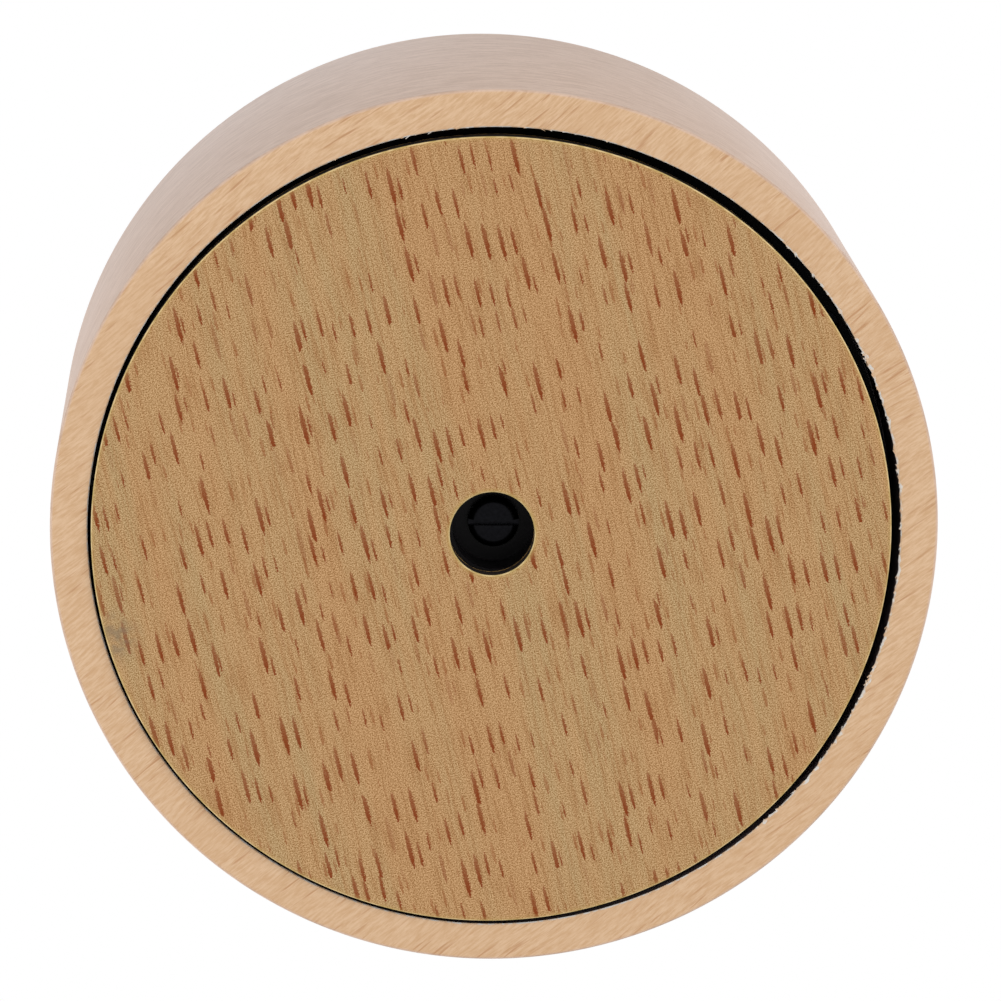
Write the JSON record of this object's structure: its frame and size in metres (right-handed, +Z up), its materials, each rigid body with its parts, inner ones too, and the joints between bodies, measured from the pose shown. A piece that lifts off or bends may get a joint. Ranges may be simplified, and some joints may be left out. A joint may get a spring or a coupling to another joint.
{
  "type": "music box",
  "caption": "Short round wooden box holding a clockwork music movement, wound and played by turning the flush round board in its underside.",
  "frame": {"origin": "centre of the underside, on the winding arbor's axis, at the level of the surface the box stands on", "axes": "+Z up along the arbor's axis to the closed wooden top, +X from the arbor along the pinned cylinder, +Y towards the comb"},
  "size_m": [0.09, 0.09, 0.0456],
  "materials": {
    "beech": "turned solid beech, sanded, unvarnished",
    "beech_veneer": "flat-sawn beech board with dense flecks, dark scorched edge",
    "black_plastic": "black moulded plastic, satin",
    "zinc": "die-cast zinc, tumbled",
    "steel": "bright steel",
    "black_steel": "blackened steel",
    "spring_steel": "blued spring steel",
    "brass": "bright brass",
    "nylon": "natural white nylon"
  },
  "bodies": {
    "case": {"case_shell": "beech", "arbor_bush": "brass", "bedplate": "zinc", "bracket_screw": "steel", "case_screw_1": "black_steel", "case_screw_2": "black_steel", "case_screw_3": "black_steel", "comb": "steel", "comb_screw_1": "steel", "comb_screw_2": "steel", "frame_screw": "steel", "governor_frame": "steel", "housing_screw_1": "steel", "housing_screw_2": "steel", "mainspring": "spring_steel", "mounting_board": "black_plastic", "movement_screw_1": "steel", "movement_screw_2": "steel", "movement_screw_3": "steel", "spring_cover": "steel", "spring_housing": "steel", "train_bracket": "steel"},
    "turntable": {"base_disc": "beech_veneer", "winding_plate": "black_plastic", "plate_screw": "black_steel", "winding_arbor": "steel", "ratchet_wheel": "steel", "retaining_ring": "steel"},
    "drive": {"drive_gear": "nylon", "click": "steel"},
    "cylinder": {"pin_cylinder": "brass", "cylinder_pinion": "nylon", "cylinder_plug": "nylon", "cylinder_wheel": "brass", "cylinder_arbor": "steel"},
    "train": {"train_arbor": "steel", "worm_wheel": "nylon"},
    "fan": {"worm_spindle": "steel", "governor_fan": "black_plastic"}
  },
  "joints": [
    {"name": "base_turn", "type": "hinge", "parent": "case", "child": "turntable", "pos_m": [0, 0, 0], "axis": [0, 0, 1], "range_deg": [0, 1170], "stiffness_Nm_per_rad": 0.0008},
    {"name": "drive_spin", "type": "hinge", "parent": "case", "child": "drive", "pos_m": [0, 0, 0.016], "axis": [0, 0, 1], "continuous": true},
    {"name": "cylinder_spin", "type": "hinge", "parent": "case", "child": "cylinder", "pos_m": [0, 0, 0.02244], "axis": [1, 0, 0], "continuous": true},
    {"name": "train_spin", "type": "hinge", "parent": "case", "child": "train", "pos_m": [0.03, -0.00725, 0.02244], "axis": [1, 0, 0], "continuous": true},
    {"name": "fan_spin", "type": "hinge", "parent": "case", "child": "fan", "pos_m": [0.0312, -0.0118, 0.02244], "axis": [0, 0, 1], "continuous": true}
  ],
  "couplings": [
    {"joint": "drive_spin", "follows": "base_turn", "ratio": 1},
    {"joint": "cylinder_spin", "follows": "base_turn", "ratio": 2},
    {"joint": "train_spin", "follows": "base_turn", "ratio": -10},
    {"joint": "fan_spin", "follows": "base_turn", "ratio": -200}
  ]
}
